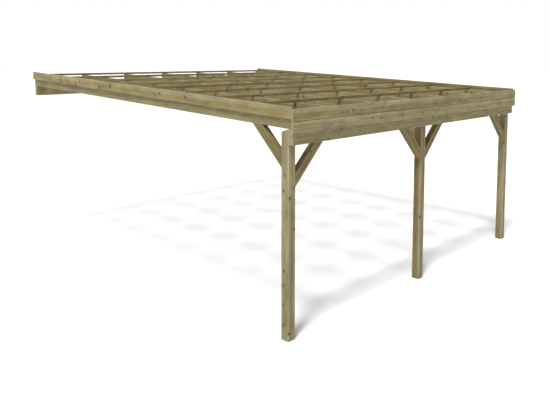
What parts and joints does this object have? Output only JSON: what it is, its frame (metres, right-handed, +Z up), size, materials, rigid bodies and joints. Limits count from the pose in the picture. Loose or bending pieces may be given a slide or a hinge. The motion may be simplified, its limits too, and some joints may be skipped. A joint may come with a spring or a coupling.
{
  "type": "lean-to carport frame",
  "caption": "Open timber lean-to carport: posts and braces under a row beam, rafters rising to a wall ledger, roof battens on top and fascia boards round three sides.",
  "frame": {"origin": "centre of the ledger's back face, on the house wall", "axes": "+X along the wall, +Y into the wall, +Z up; the ground is at z = -2.2803 m"},
  "size_m": [4.956, 5.646, 2.577],
  "materials": {
    "post": "planed, pressure-treated softwood, weathered matt",
    "beam": "planed, pressure-treated softwood, weathered matt",
    "batten": "planed, pressure-treated softwood, weathered matt",
    "brace": "planed, pressure-treated softwood, weathered matt",
    "board": "planed, pressure-treated softwood, weathered matt",
    "screw": "zinc-plated screw heads, dulled outdoors"
  },
  "bodies": {
    "root": {"post_left": "post", "post_middle": "post", "post_right": "post", "row_beam": "beam", "ledger": "beam", "side_beam_left": "beam", "side_beam_right": "beam", "rafter_1": "beam", "rafter_2": "beam", "rafter_3": "beam", "rafter_4": "beam", "rafter_5": "beam", "batten_1": "batten", "batten_2": "batten", "batten_3": "batten", "batten_4": "batten", "batten_5": "batten", "batten_6": "batten", "batten_7": "batten", "batten_8": "batten", "batten_9": "batten", "brace_left_in": "brace", "brace_middle_in": "brace", "brace_right_in": "brace", "brace_left_row": "brace", "brace_middle_row_left": "brace", "brace_middle_row_right": "brace", "brace_right_row": "brace", "side_fascia_left": "board", "side_fascia_right": "board", "row_fascia_upper": "board", "row_fascia_lower": "board"}
  },
  "joints": []
}
